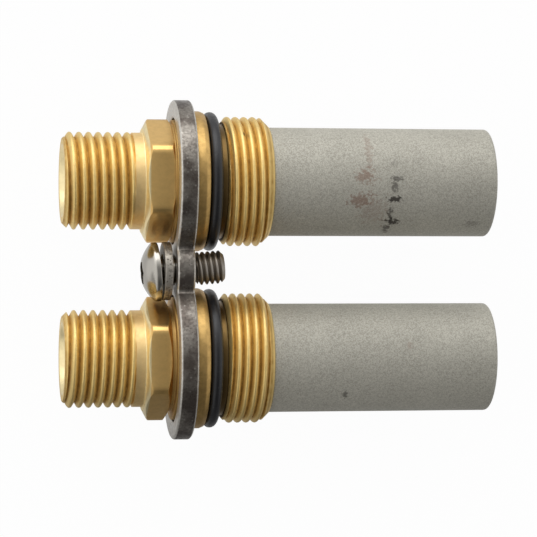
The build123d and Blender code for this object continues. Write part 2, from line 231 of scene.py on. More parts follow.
class SmallPieceSizes(bpy.types.PropertyGroup):
    """Sizes of the thimbles, the plate, the screw, the washer and the springs"""

    thimble_wall: length_size("Thimble wall", "Wall of the sintered thimble", 2.5)
    thimble_end: length_size("Thimble end", "Thickness of its closed end", 3.0)
    thimble_shoulder: length_size("Thimble shoulder", "Place of its shoulder along X", 9.5)
    thimble_spigot: length_size("Thimble spigot", "Radius of its spigot", 7.5)
    thimble_round: length_size("Thimble end round", "Round of its closed end", 0.45)
    thimble_edge: length_size("Thimble edge", "Round of its other edges", 0.12)
    plate_edge: length_size("Plate edge", "Width of the plate's broken edges", 0.07)
    plate_fold: angle_size("Plate fold", "Least angle of an edge that is broken", 25.0)
    screw_lean: angle_size("Screw lean", "Angle at which the captive screw leans", 4.5)
    screw_crest: length_size("Screw thread", "Crest radius of the screw thread", 2.413)
    screw_pitch: length_size("Screw pitch", "Advance of the screw thread in one turn", 0.794)
    screw_crest_place: length_size("Screw crest place", "Where a crest crosses the side", 2.15)
    screw_lead: length_size("Screw lead", "Length over which the screw thread rises", 0.45)
    screw_length: length_size("Screw length", "Length under the screw's head", 9.525)
    screw_neck: length_size("Screw neck", "Radius of the captive neck", 1.8)
    neck_clearance: length_size("Neck clearance", "Neck that stands out of the plate", 0.15)
    screw_height: length_size("Screw height", "Height of the screw above the axes", 3.4)
    head_seat: length_size("Head seat", "Place of the head's bearing face along X", -6.91)
    head_radius: length_size("Head radius", "Radius of the screw head", 4.3)
    head_height: length_size("Head height", "Height of the screw head", 2.7)
    head_rim: length_size("Head rim", "Straight part of the screw head", 0.8)
    head_round: length_size("Head round", "Round between the dome and the rim", 0.25)
    head_edge: length_size("Head edge", "Broken edge of the bearing face", 0.12)
    head_fillet: length_size("Head fillet", "Round between the head and the neck", 0.1)
    tip_chamfer: length_size("Tip chamfer", "Chamfer of the screw's tip", 0.55)
    drive_width: length_size("Drive width", "Hexagon socket of the head, across flats", 3.175)
    drive_depth: length_size("Drive depth", "Depth of the hexagon socket", 1.6)
    washer_hole: length_size("Washer hole", "Radius of the washer's hole", 2.5)
    washer_round: length_size("Washer round", "Round of the washer's edges", 0.16)
    washer_split: length_size("Washer split", "Gap between the washer's ends", 0.6)
    washer_cut: angle_size("Washer cut", "Slant of the washer's ends", 25.0)
    spring_wire: length_size("Spring wire", "Radius of the closing springs' wire", 0.25)
    spring_turns: FloatProperty(name="Spring turns", description="Turns of a closing spring", default=5.5)


class FinishColours(bpy.types.PropertyGroup):
    """Colours of the finishes"""

    brass: finish_colour("Brass", "Clean turned brass", 232, 192, 122)
    brass_thread: finish_colour("Brass thread", "Paler brass of the thread flanks", 240, 211, 141)
    # Paler brass painted as a highlight on the hexagon's front chamfer, inside the mouth's cone and, more
    # weakly, on the plain neck
    brass_chamfer: finish_colour("Brass chamfer", "Freshly turned chamfer and neck", 250, 232, 182)
    brass_tarnish: finish_colour("Brass tarnish", "Brown film in the thread roots", 160, 116, 44)
    # Stains the flange in patches, and is also painted on the collar beside the lock plate as painted
    # shade
    brass_stain: finish_colour("Brass stain", "Dull patches on the flanges", 138, 112, 66)
    # Also painted over the O-ring neck, between the O-ring and the body thread, as painted shade with some
    # grime
    pit_and_neck_shade: finish_colour("Pit", "Dark pits in the brass", 52, 36, 18)
    sintered: finish_colour("Sintered steel", "Porous sintered steel", 191, 188, 176)
    sintered_dark: finish_colour("Sintered pores", "Shade in the pores", 132, 129, 119)
    heat_tint: finish_colour("Heat tint", "Brown smudges on the thimbles", 128, 100, 84)
    soot: finish_colour("Soot", "Black marks on the thimbles", 44, 38, 32)
    plate_face: finish_colour("Plate face", "Bare steel of the plate's faces", 206, 202, 194)
    plate_rim: finish_colour("Plate rim", "Scaled steel of the plate's rim", 146, 140, 132)
    plate_scale: finish_colour("Plate scale", "Dark scale on the rim", 100, 92, 86)
    plate_rust: finish_colour("Plate rust", "Dark rusty specks on the rim", 56, 46, 38)
    screw: finish_colour("Screw", "Polished plated steel", 178, 174, 166)
    screw_dark: finish_colour("Screw thread", "Dark film on the screw thread", 160, 152, 142)
    washer: finish_colour("Washer", "Dull plated steel", 172, 166, 156)
    washer_pit: finish_colour("Washer pits", "Dark pits in the washer", 48, 43, 38)
    rubber: finish_colour("Rubber", "Black nitrile rubber", 22, 22, 25)
    screen: finish_colour("Screen", "Steel of the strainer screens", 190, 188, 184)
    inner_brass: finish_colour("Inner brass", "Brass of the pieces inside", 226, 190, 124)
    spring: finish_colour("Spring", "Steel of the closing springs", 204, 204, 206)


class StageSettings(bpy.types.PropertyGroup):
    """Camera and lights"""

    camera_distance: length_size("Camera distance", "Distance from the camera to its target", 362.0)
    camera_yaw: angle_size("Camera yaw", "Turn of the camera towards the inlets", 9.3)
    camera_target: place_size("Camera target", "Point that the camera looks at", (0.00983, 0.00019, 0.0))
    lens: FloatProperty(name="Lens", description="Focal length in millimetres", default=164.2)
    key_place: place_size("Key place", "Place of the soft lamp from the target", (-0.05, 0.35, 0.11))
    key_size: length_size("Key size", "Side of the soft lamp", 340.0)
    key_power: FloatProperty(
        name="Key power", description="Power of the soft lamp", default=0.47, unit="POWER"
    )
    sky_level: FloatProperty(name="Sky level", description="Brightness of the studio around", default=0.28)
    floor_gap: length_size("Floor gap", "Gap between the floor and the lowest piece", 0.2)


def axis_point(side, x=0.0):
    """Point on the axis of the cartridge on that side."""
    return (x, side * axis_y, 0.0)


# Mesh helpers


def move(bm, place):
    bmesh.ops.translate(bm, vec=place, verts=bm.verts)


def rotate(bm, angle, axis):
    bmesh.ops.rotate(bm, cent=(0.0, 0.0, 0.0), matrix=Matrix.Rotation(angle, 3, axis), verts=bm.verts)


def sweep(bm, steps=RING_STEPS, angle=2 * pi, rise=0.0, closed=False):
    """Sweeps a section around X, with a rise along X at each step."""
    bmesh.ops.spin(
        bm,
        geom=bm.verts[:] + bm.edges[:],
        axis=(1.0, 0.0, 0.0),
        dvec=(rise, 0.0, 0.0),
        angle=angle,
        steps=steps,
        use_merge=closed,
    )


def fill_ends(bm):
    bmesh.ops.holes_fill(bm, edges=[edge for edge in bm.edges if edge.is_boundary], sides=0)


def merge(bm):
    bmesh.ops.remove_doubles(bm, verts=bm.verts, dist=MERGE_DISTANCE)


def joined(parts):
    """One bmesh with the geometry of several, merged where their rims coincide."""
    whole = bmesh.new()
    for part in parts:
        mesh = bpy.data.meshes.new("part")
        part.to_mesh(mesh)
        part.free()
        whole.from_mesh(mesh)
        bpy.data.meshes.remove(mesh)
    merge(whole)
    return whole


def outline(corners, rounds, segments=4, closed=False):
    """Chain of edges through (x, radius) corners; rounds gives each corner's reach, 0 for sharp."""
    bm = bmesh.new()
    chain = [bm.verts.new((x, radius, 0.0)) for x, radius in corners]
    for first, second in zip(chain, chain[1:]):
        bm.edges.new((first, second))
    if closed:
        bm.edges.new((chain[-1], chain[0]))
    for reach in sorted(set(rounds) - {0.0}):
        places = [Vector((x, radius, 0.0)) for (x, radius), own in zip(corners, rounds) if own == reach]
        found = [min(bm.verts, key=lambda vert: (vert.co - place).length) for place in places]
        bmesh.ops.bevel(
            bm,
            geom=found,
            offset=reach,
            offset_type="OFFSET",
            segments=segments,
            profile=0.5,
            affect="VERTICES",
            clamp_overlap=True,
            material=-1,
        )
    return bm


def turned(corners, rounds, segments=4):
    """Surface turned around X from the outline through (x, radius) corners."""
    bm = outline(corners, rounds, segments)
    sweep(bm, closed=True)
    merge(bm)
    return bm


def round_section(points, radius, place):
    """Circle in the XY plane around a place."""
    bm = bmesh.new()
    bmesh.ops.create_circle(bm, segments=points, radius=radius)
    move(bm, place)
    return bm


def level_at(x, points):
    """Height at x of a line through (x, height) points, level beyond its ends."""
    if x <= points[0][0]:
        return points[0][1]
    for (x0, y0), (x1, y1) in zip(points, points[1:]):
        if x <= x1:
            return y0 + (y1 - y0) * (x - x0) / (x1 - x0)
    return points[-1][1]


def threaded(start, stop, pitch, crest, crest_place, highest, lowest):
    """Right-hand vee thread around X, cut square at start and stop.

    crest_place is where a crest crosses the +Y side. The radius stays between the lines
    lowest and highest, which are lists of (x, radius). Both rims have RING_STEPS points.
    """
    root = crest - THREAD_DEPTH_SHARE * pitch
    half_crest = THREAD_CREST_SHARE * pitch / 2
    half_base = half_crest + (crest - root) * THREAD_FLANK_SLOPE
    turns_before = ceil((crest_place - start) / pitch) + 1
    first_crest = crest_place - turns_before * pitch
    turns = ceil((stop - first_crest) / pitch) + 1
    corners = [
        (first_crest - pitch / 2, root),
        (first_crest - half_base, root),
        (first_crest - half_crest, crest),
        (first_crest + half_crest, crest),
        (first_crest + half_base, root),
        (first_crest + pitch / 2, root),
    ]
    crest_round = THREAD_CREST_ROUND_SHARE * pitch
    root_round = THREAD_ROOT_ROUND_SHARE * pitch
    bm = outline(corners, [0.0, root_round, crest_round, crest_round, root_round, 0.0])
    flanks = [edge for edge in bm.edges if edge.calc_length() > THREAD_FLANK_SHARE * pitch]
    bmesh.ops.subdivide_edges(bm, edges=flanks, cuts=THREAD_FLANK_CUTS)
    sweep(bm, rise=pitch / RING_STEPS)
    one_turn = bm.verts[:] + bm.edges[:] + bm.faces[:]
    for number in range(1, turns):
        copied = bmesh.ops.duplicate(bm, geom=one_turn)["geom"]
        copied_verts = [item for item in copied if isinstance(item, bmesh.types.BMVert)]
        bmesh.ops.translate(bm, vec=(number * pitch, 0.0, 0.0), verts=copied_verts)
    merge(bm)
    for vert in bm.verts:
        radius = hypot(vert.co.y, vert.co.z)
        kept = min(max(radius, level_at(vert.co.x, lowest)), level_at(vert.co.x, highest))
        vert.co.y *= kept / radius
        vert.co.z *= kept / radius
    for place, outward in ((start, -1.0), (stop, 1.0)):
        cut = bmesh.ops.bisect_plane(
            bm,
            geom=bm.verts[:] + bm.edges[:] + bm.faces[:],
            dist=MERGE_DISTANCE,
            plane_co=(place, 0.0, 0.0),
            plane_no=(outward, 0.0, 0.0),
            clear_outer=True,
        )
        rim_radius = level_at(place, highest)
        for vert in cut["geom_cut"]:
            if isinstance(vert, bmesh.types.BMVert):
                step = round(atan2(vert.co.z, vert.co.y) / (2 * pi) * RING_STEPS)
                angle = 2 * pi * step / RING_STEPS
                vert.co = (place, rim_radius * cos(angle), rim_radius * sin(angle))
    merge(bm)
    return bm


def softened(corners, reach):
    """Three points in place of each inner corner of a line, so that its edge is broken."""
    points = [corners[0]]
    for before, corner, after in zip(corners, corners[1:], corners[2:]):
        here = Vector(corner)
        back = Vector(before) - here
        on = Vector(after) - here
        entry = here + back.normalized() * min(reach, back.length / 2)
        leave = here + on.normalized() * min(reach, on.length / 2)
        points += [entry, (entry + leave) / 4 + here / 2, leave]
    points.append(corners[-1])
    return points


def ringed(outline_at, corner_touch, reach):
    """Closed rings of points around X, lofted along the outline of (x, radius) corners at each angle.

    The rings' points crowd together within corner_touch of each of six corners, and are evenly
    spaced on the first and the last ring.
    """
    bm = bmesh.new()
    bmesh.ops.create_circle(bm, segments=RING_STEPS, radius=1.0)
    ring = bm.edges[:]
    outlines = {}
    angles = {}
    for vert in bm.verts:
        step = round(atan2(vert.co.y, vert.co.x) / (2 * pi) * RING_STEPS)
        corner = floor(step / STEPS_PER_SIXTH + 0.5)
        off = step - corner * STEPS_PER_SIXTH
        if abs(off) <= CORNER_STEPS:
            off_angle = off * corner_touch / CORNER_STEPS
        else:
            share = (abs(off) - CORNER_STEPS) / (STEPS_PER_SIXTH // 2 - CORNER_STEPS)
            off_angle = (corner_touch + share * (pi / 6 - corner_touch)) * (1 if off > 0 else -1)
        crowded = corner * pi / 3 + off_angle
        angles[vert] = (2 * pi * step / RING_STEPS, crowded)
        outlines[vert] = softened(outline_at(crowded), reach)
    count = len(next(iter(outlines.values())))
    for index in range(count):
        if index:
            grown = bmesh.ops.extrude_edge_only(bm, edges=ring)["geom"]
            fresh = {item for item in grown if isinstance(item, bmesh.types.BMVert)}
            ring = [e for e in grown if isinstance(e, bmesh.types.BMEdge) and set(e.verts) <= fresh]
            grown_from = {}
            for vert in fresh:
                others = [edge.other_vert(vert) for edge in vert.link_edges]
                grown_from[vert] = next(other for other in others if other in angles)
            angles = {vert: angles[old] for vert, old in grown_from.items()}
            outlines = {vert: outlines[old] for vert, old in grown_from.items()}
        for vert, points in outlines.items():
            x, radius = points[index]
            even, crowded = angles[vert]
            angle = even if index in (0, count - 1) else crowded
            vert.co = (x, radius * cos(angle), radius * sin(angle))
    merge(bm)
    return bm


def cut_away(bm, cutter):
    """What is left of bm when cutter is taken from it; both are freed."""
    objects = []
    for name, source in (("blank", bm), ("cutter", cutter)):
        mesh = bpy.data.meshes.new(name)
        source.to_mesh(mesh)
        source.free()
        objects.append(bpy.data.objects.new(name, mesh))
        bpy.context.scene.collection.objects.link(objects[-1])
    blank, tool = objects
    boolean = blank.modifiers.new("drive", "BOOLEAN")
    boolean.operation = "DIFFERENCE"
    boolean.solver = "EXACT"
    boolean.use_self = True
    boolean.object = tool
    evaluated = blank.evaluated_get(bpy.context.evaluated_depsgraph_get())
    result = bmesh.new()
    result.from_mesh(evaluated.data)
    for item in objects:
        mesh = item.data
        bpy.data.objects.remove(item)
        bpy.data.meshes.remove(mesh)
    return result


def finished(name, bm, node, material):
    """Makes a mesh object of bm, which is freed, in the place of a CAD node."""
    bmesh.ops.recalc_face_normals(bm, faces=bm.faces)
    open_edges = sum(not edge.is_manifold for edge in bm.edges)
    if open_edges:
        raise RuntimeError(f"{name} has {open_edges} open edges")
    for face in bm.faces:
        face.smooth = True
    mesh = bpy.data.meshes.new(name)
    bm.to_mesh(mesh)
    bm.free()
    mesh.set_sharp_from_angle(angle=SHARP_ANGLE)
    mesh.materials.append(material)
    piece = bpy.data.objects.new(name, mesh)
    bpy.context.scene.collection.objects.link(piece)
    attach(piece, BODY)
    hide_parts(node)
    return piece


# Shader helpers


class Wiring:
    """Adds nodes to one shader tree and links them."""

    def __init__(self, tree):
        self.tree = tree

    def add(self, kind, inputs=None, **options):
        node = self.tree.nodes.new(kind)
        for key, value in options.items():
            setattr(node, key, value)
        for key, value in (inputs or {}).items():
            if isinstance(value, bpy.types.NodeSocket):
                self.tree.links.new(value, node.inputs[key])
            else:
                node.inputs[key].default_value = value
        return node

    def math(self, operation, first, second=0.0, third=0.0, clamp=False):
        inputs = {0: first, 1: second, 2: third}
        return self.add("ShaderNodeMath", inputs, operation=operation, use_clamp=clamp).outputs[0]

    def times(self, first, second, clamp=False):
        return self.math("MULTIPLY", first, second, clamp=clamp)

    def greater(self, first, second):
        return self.math("MAXIMUM", first, second)

    def less(self, first, second):
        return self.math("SUBTRACT", first, second)

    def total(self, start, *weighted):
        """start plus each value times its weight."""
        for value, weight in weighted:
            start = self.math("MULTIPLY_ADD", value, weight, start)
        return start

    def ramp(self, value, low, high, to_low=0.0, to_high=1.0):
        """Smooth change from to_low to to_high as value goes from low to high."""
        inputs = {"Value": value, "From Min": low, "From Max": high, "To Min": to_low, "To Max": to_high}
        return self.add("ShaderNodeMapRange", inputs, interpolation_type="SMOOTHSTEP").outputs["Result"]

    def fall(self, value, low, high):
        """Smooth change from 1 to 0 as value goes from low to high."""
        return self.ramp(value, low, high, 1.0, 0.0)

    def mix(self, factor, first, second, share=1.0):
        """Mix of two shades, each a socket, a colour or the name of a finish colour."""
        inputs = {0: factor if share == 1.0 else self.times(factor, share)}
        for place, shade in ((6, first), (7, second)):
            if isinstance(shade, str):
                shade = tuple(getattr(bpy.context.scene.cartridge_colours, shade))
            inputs[place] = shade
        return self.add("ShaderNodeMix", inputs, data_type="RGBA").outputs[2]

    def texture(self, kind, vector, size, **inputs):
        """Outputs of a texture whose features are of that size."""
        named = {key.title(): value for key, value in inputs.items()}
        scale = self.math("DIVIDE", 1.0, size)
        return self.add(f"ShaderNodeTex{kind}", {"Vector": vector, "Scale": scale, **named}).outputs

    def effect(self, name, **inputs):
        """Outputs of a shared node group, placed with its own values."""
        named = {key.replace("_", " ").title(): value for key, value in inputs.items()}
        return self.add("ShaderNodeGroup", named, node_tree=shared_group(name)).outputs

    def glow(self, coordinates, rows):
        """Sum of smooth changes along the axes of a coordinate."""
        place = self.add("ShaderNodeSeparateXYZ", {0: coordinates}).outputs
        total = 0.0
        for axis, *change in rows:
            total = self.math("ADD", self.ramp(place[axis], *change), total)
        return total

    def seen(self):
        """Light Path outputs, and where a surface is seen straight or through glass."""
        rays = self.add("ShaderNodeLightPath").outputs
        return rays, self.greater(rays["Is Camera Ray"], rays["Is Transmission Ray"])


def turned_coordinates(w, source):
    """Place along a turned part's axis, distance from it, and both as a vector."""
    split = w.add("ShaderNodeSeparateXYZ", {0: source["Vector"]}).outputs
    across = w.add("ShaderNodeCombineXYZ", {"Y": split["Y"], "Z": split["Z"]}).outputs[0]
    radius = w.add("ShaderNodeVectorMath", {0: across}, operation="LENGTH").outputs["Value"]
    section = w.add("ShaderNodeCombineXYZ", {"X": split["X"], "Y": radius}).outputs[0]
    return {"Along": split["X"], "Radius": radius, "Section": section}


def turning_lines(w, source):
    """Fine lathe lines that run around the axis."""
    scale = w.math("DIVIDE", 1.0, source["Spacing"])
    inputs = {"Vector": source["Section"], "Scale": scale, "Detail": 2.0, "Roughness": 0.6}
    noise = w.add("ShaderNodeTexNoise", inputs, noise_dimensions="2D")
    return {"Height": noise.outputs["Fac"]}


def thread_tarnish(w, source):
    """Film that stays in the roots of a thread and is rubbed off its crests."""
    under_root = 0.3
    at_root = 0.1
    root = source["Root Radius"]
    noise = w.add("ShaderNodeTexNoise", {"Vector": source["Vector"], "Scale": 0.9, "Detail": 3.0})
    depth = w.fall(source["Radius"], root, source["Crest Radius"])
    outside = w.ramp(source["Radius"], w.less(root, under_root), w.less(root, at_root))
    broken = w.times(depth, w.ramp(noise.outputs["Fac"], 0.2, 0.8, 0.45, 1.2))
    return {"Mask": w.times(broken, outside)}


def blotches(w, source):
    """Soft irregular patches."""
    noise = w.texture("Noise", source["Vector"], source["Size"], detail=5.0)
    middle = w.less(1.0, source["Coverage"])
    low = w.less(middle, source["Softness"])
    high = w.math("ADD", middle, source["Softness"])
    return {"Mask": w.ramp(noise["Fac"], low, high)}


def specks(w, source):
    """Small round specks in some cells of a net."""
    cells = w.texture("Voronoi", source["Vector"], source["Spacing"])
    pick = w.add("ShaderNodeSeparateColor", {0: cells["Color"]}).outputs[0]
    chosen = w.math("LESS_THAN", pick, source["Share"])
    near = w.fall(cells["Distance"], 0.0, source["Reach"])
    return {"Mask": w.times(chosen, near)}


def sintered_grains(w, source):
    """Packed grains, each with its own shade."""
    cells = w.texture("Voronoi", source["Vector"], source["Grain"])
    shade = w.add("ShaderNodeSeparateColor", {0: cells["Color"]}).outputs[0]
    return {"Height": w.less(1.0, cells["Distance"]), "Shade": shade}


def band(w, source):
    """One stretch of a coordinate, with soft ends."""
    rise = w.ramp(source["Place"], w.less(source["Start"], source["Fade"]), source["Start"])
    stop = w.math("ADD", source["Stop"], source["Fade"])
    return {"Mask": w.times(rise, w.fall(source["Place"], source["Stop"], stop))}


def smudge(w, source):
    """One ragged smudge around a place."""
    unevenness = 4.0
    away = w.add("ShaderNodeVectorMath", {0: source["Vector"], 1: source["Centre"]}, operation="SUBTRACT")
    shares = w.add("ShaderNodeVectorMath", {0: away.outputs[0], 1: source["Reach"]}, operation="DIVIDE")
    distance = w.add("ShaderNodeVectorMath", {0: shares.outputs[0]}, operation="LENGTH").outputs["Value"]
    noise = w.add("ShaderNodeTexNoise", {"Vector": source["Vector"], "Scale": 2.2, "Detail": 5.0})
    stray = w.times(w.less(noise.outputs["Fac"], 0.5), source["Ragged"])
    return {"Mask": w.fall(w.total(distance, (stray, unevenness)), 0.4, 1.2)}


# The function that wires each shared effect, and its inputs with their defaults, None for a vector
EFFECTS = {
    "Turned Coordinates": (turned_coordinates, {"Vector": None}),
    "Turning Lines": (turning_lines, {"Section": None, "Spacing": 0.1}),
    "Thread Tarnish": (
        thread_tarnish,
        {"Vector": None, "Radius": 0.0, "Root Radius": 6.0, "Crest Radius": 7.0},
    ),
    "Blotches": (blotches, {"Vector": None, "Size": 1.0, "Coverage": 0.5, "Softness": 0.1}),
    "Specks": (specks, {"Vector": None, "Spacing": 1.0, "Share": 0.2, "Reach": 0.3}),
    "Sintered Grains": (sintered_grains, {"Vector": None, "Grain": 0.2}),
    "Band": (band, {"Place": 0.0, "Start": 0.0, "Stop": 1.0, "Fade": 0.1}),
    "Smudge": (smudge, {"Vector": None, "Centre": None, "Reach": None, "Ragged": 0.5}),
}


def shared_group(name):
    """The node group of a shared effect, built once."""
    if name in bpy.data.node_groups:
        return bpy.data.node_groups[name]
    make, inputs = EFFECTS[name]
    tree = bpy.data.node_groups.new(name, "ShaderNodeTree")
    for label, value in inputs.items():
        kind = "NodeSocketVector" if value is None else "NodeSocketFloat"
        socket = tree.interface.new_socket(name=label, in_out="INPUT", socket_type=kind)
        if value is not None:
            socket.default_value = value
    w = Wiring(tree)
    results = make(w, w.add("NodeGroupInput").outputs)
    for label, result in results.items():
        kind = "NodeSocketVector" if result.type == "VECTOR" else "NodeSocketFloat"
        tree.interface.new_socket(name=label, in_out="OUTPUT", socket_type=kind)
    w.add("NodeGroupOutput", results)
    return tree


class Finish(Wiring):
    """Material on object coordinates in millimetres about a centre in metres."""

    def __init__(self, name, centre, metallic=0.0, turn=(0.0, 0.0, 0.0)):
        self.material = bpy.data.materials.new(name)
        self.material.use_nodes = True
        super().__init__(self.material.node_tree)
        self.shader = self.tree.nodes["Principled BSDF"].inputs
        self.shader["Metallic"].default_value = metallic
        coordinates = self.add("ShaderNodeTexCoord").outputs["Object"]
        away = [-value for value in centre]
        moved = self.add("ShaderNodeMapping", {"Vector": coordinates, "Location": away}).outputs[0]
        inputs = {"Vector": moved, "Rotation": turn, "Scale": (1 / MM, 1 / MM, 1 / MM)}
        self.vector = self.add("ShaderNodeMapping", inputs).outputs[0]

    def marks(self, name, **inputs):
        """Mask of a shared effect on the material's coordinates."""
        return self.effect(name, vector=self.vector, **inputs)["Mask"]

    def band(self, place, start, stop, fade):
        return self.effect("Band", place=place, start=start, stop=stop, fade=fade)["Mask"]

    def turning(self, spacing):
        """Coordinates of a turned part, and its lathe lines."""
        axis = self.effect("Turned Coordinates", vector=self.vector)
        return axis, self.effect("Turning Lines", section=axis["Section"], spacing=spacing)["Height"]

    def smudged(self, shade, rows, ragged):
        for centre, reach, tint, share in rows:
            mask = self.marks("Smudge", centre=centre, reach=reach, ragged=ragged)
            shade = self.mix(mask, shade, tint, share)
        return shade

    def coat(self, shade, rough, height, depth):
        """The material with that colour, roughness and relief, whose depth is in millimetres."""
        bump = self.add("ShaderNodeBump", {"Height": height, "Distance": depth * MM, "Strength": 1.0})
        self.tree.links.new(shade, self.shader["Base Color"])
        self.tree.links.new(rough, self.shader["Roughness"])
        self.tree.links.new(bump.outputs["Normal"], self.shader["Normal"])
        return self.material


def brass_material(name, side):
    """Turned brass with a film in the thread roots, a stained flange and a few pits; a painted highlight
    on the chamfer, mouth and neck, and painted shade on the O-ring neck and the collar.
    """
    sizes = bpy.context.scene.cartridge_body
    neck_start, hex_front, hex_rear = [place / MM for place in hexagon_places(name)]
    inlet_face = body_box[0].x / MM
    flange_back = -sizes.flange_thickness / MM
    seal_neck_end = sizes.seal_neck_length / MM
    mouth_rim = sizes.mouth / MM
    cone_end = inlet_face + (sizes.mouth - sizes.bore) / tan(sizes.mouth_slope) / MM
    thread_fade = 0.3
    soft = 0.1
    chamfer_width = 0.45
    collar_gap = 0.15
    flange_dullness = 0.38
    spot_strength = 0.75
    neck_painted_highlight = 0.4

    w = Finish(f"{name} brass", axis_point(side), metallic=1.0)
    axis, lines = w.turning(spacing=0.09)
    along = axis["Along"]
    tarnish = cut = 0.0
    for start, stop, crest, pitch in (
        (inlet_face, neck_start - thread_fade, sizes.inlet_crest, sizes.inlet_pitch),
        (seal_neck_end, body_box[1].x / MM, sizes.body_crest, sizes.body_pitch),
    ):
        here = w.band(along, start, stop, fade=thread_fade)
        root = (crest - THREAD_DEPTH_SHARE * pitch) / MM
        middle = (root + crest / MM) / 2
        film = w.marks("Thread Tarnish", radius=axis["Radius"], root_radius=root, crest_radius=middle)
        tarnish = w.math("MULTIPLY_ADD", here, film, tarnish, clamp=True)
        cut = w.math("ADD", here, cut, clamp=True)
    flange = w.band(along, flange_back, soft / 2, fade=soft)
    seal_neck = w.band(along, soft, seal_neck_end, fade=0.08)
    hex_chamfer = w.band(along, hex_front - soft, hex_front + chamfer_width, fade=0.15)
    neck = w.band(along, neck_start, hex_front, fade=soft)
    collar = w.band(along, hex_rear, flange_back - collar_gap, fade=soft)
    mouth = w.band(along, inlet_face - soft, cone_end, fade=soft)
    inside = w.fall(axis["Radius"], mouth_rim, mouth_rim + thread_fade)
    cut = w.times(cut, w.less(1.0, inside))

    patches = w.marks("Blotches", size=0.8, coverage=0.46, softness=0.25)
    spots = w.marks("Specks", spacing=0.7, share=0.14, reach=0.3)
    patch_share = w.total(0.16, (flange, 0.14))
    stain = w.math("MULTIPLY_ADD", flange, flange_dullness, w.times(patches, patch_share), clamp=True)
    stain = w.greater(stain, w.times(spots, w.times(flange, spot_strength)))
    # Painted highlight: paler brass on the hexagon's front chamfer, inside the mouth's cone and, at a
    # lesser share, on the plain neck
    fresh = w.greater(hex_chamfer, w.times(mouth, inside))
    fresh = w.greater(fresh, w.times(neck, neck_painted_highlight))

    shade = w.mix(cut, "brass", "brass_thread")
    shade = w.mix(fresh, shade, "brass_chamfer")
    shade = w.mix(stain, shade, "brass_stain")
    # Painted shade, with some grime, in the narrow neck between the O-ring and the first thread of the
    # body
    shade = w.mix(seal_neck, shade, "pit_and_neck_shade", share=0.85)
    # Painted shade on the collar, in the crease between the hexagon and the lock plate
    shade = w.mix(collar, shade, "brass_stain", share=0.6)
    shade = w.mix(tarnish, shade, "brass_tarnish", share=0.62)
    shade = w.smudged(shade, BODY_MARKS[name], ragged=0.1)
    dull = w.greater(neck, collar)
    rough = w.total(0.26, (tarnish, 0.1), (stain, 0.2), (lines, 0.12), (cut, 0.16), (dull, 0.2))
    return w.coat(shade, rough, lines, depth=0.004)


def sintered_material(name, side):
    """Porous sintered steel with brown and black smudges."""
    w = Finish(f"{name} sintered steel", axis_point(side), metallic=0.3)
    grains = w.effect("Sintered Grains", vector=w.vector, grain=0.13)
    coarse = w.marks("Blotches", size=0.4, coverage=0.5, softness=0.3)
    clouds = w.marks("Blotches", size=6.0, coverage=0.5, softness=0.25)
    pores = w.ramp(grains["Shade"], 0.0, 1.0)
    dark = w.total(0.0, (pores, 0.45), (coarse, 0.2), (clouds, 0.12))
    shade = w.mix(dark, "sintered", "sintered_dark")
    shade = w.smudged(shade, THIMBLE_MARKS[name], ragged=0.9)
    return w.coat(shade, w.total(0.55, (pores, 0.15)), grains["Height"], depth=0.02)


def rubber_material(name, centre):
    """Black rubber with a faint moulded grain and dust."""
    w = Finish(name, centre)
    mottle = w.marks("Blotches", size=0.35, coverage=0.5, softness=0.3)
    dust = w.marks("Specks", spacing=0.5, share=0.12, reach=0.25)
    shade = w.mix(dust, "rubber", "sintered_dark", share=0.35)
    return w.coat(shade, w.ramp(mottle, 0.0, 1.0, 0.28, 0.42), mottle, depth=0.01)


def plate_material(name):
    """Steel plate with bright faces and edges and a mottled, scaled rim."""
    low, high = plate_box
    edge_width = 0.28
    w = Finish(name, (0.0, 0.0, 0.0), metallic=0.85)
    along = w.effect("Turned Coordinates", vector=w.vector)["Along"]
    rim = w.band(along, low.x / MM + edge_width, high.x / MM - edge_width, fade=0.12)
    scale = w.marks("Blotches", size=3.0, coverage=0.52, softness=0.12)
    mottle = w.marks("Blotches", size=0.45, coverage=0.5, softness=0.15)
    bright = w.marks("Specks", spacing=0.55, share=0.3, reach=0.4)
    rust = w.marks("Specks", spacing=0.3, share=0.35, reach=0.5)
    rim_shade = w.mix(scale, "plate_rim", "plate_scale")
    rim_shade = w.mix(mottle, rim_shade, "washer_pit", share=0.35)
    rim_shade = w.mix(bright, rim_shade, "plate_face", share=0.4)
    rim_shade = w.mix(rust, rim_shade, "plate_rust", share=0.6)
    face_shade = w.mix(mottle, "plate_face", "plate_rim", share=0.3)
    shade = w.mix(rim, face_shade, rim_shade)
    return w.coat(shade, w.total(0.3, (mottle, 0.1)), mottle, depth=0.012)


def screw_material(name, centre, turn):
    """Polished plated steel, with a dark film in the thread."""
    small = bpy.context.scene.cartridge_small
    crest = small.screw_crest / MM
    root = crest - THREAD_DEPTH_SHARE * small.screw_pitch / MM
    w = Finish(name, centre, metallic=1.0, turn=turn)
    axis, lines = w.turning(spacing=0.12)
    threaded_end = w.ramp(axis["Along"], 0.0, 0.6)
    film = w.marks("Thread Tarnish", radius=axis["Radius"], root_radius=root, crest_radius=crest)
    mottle = w.marks("Blotches", size=1.2, coverage=0.45, softness=0.2)
    dark = w.times(w.total(0.6, (film, 0.4)), threaded_end, clamp=True)
    rough = w.total(0.16, (threaded_end, 0.24), (mottle, 0.08))
    return w.coat(w.mix(dark, "screw", "screw_dark"), rough, lines, depth=0.002)


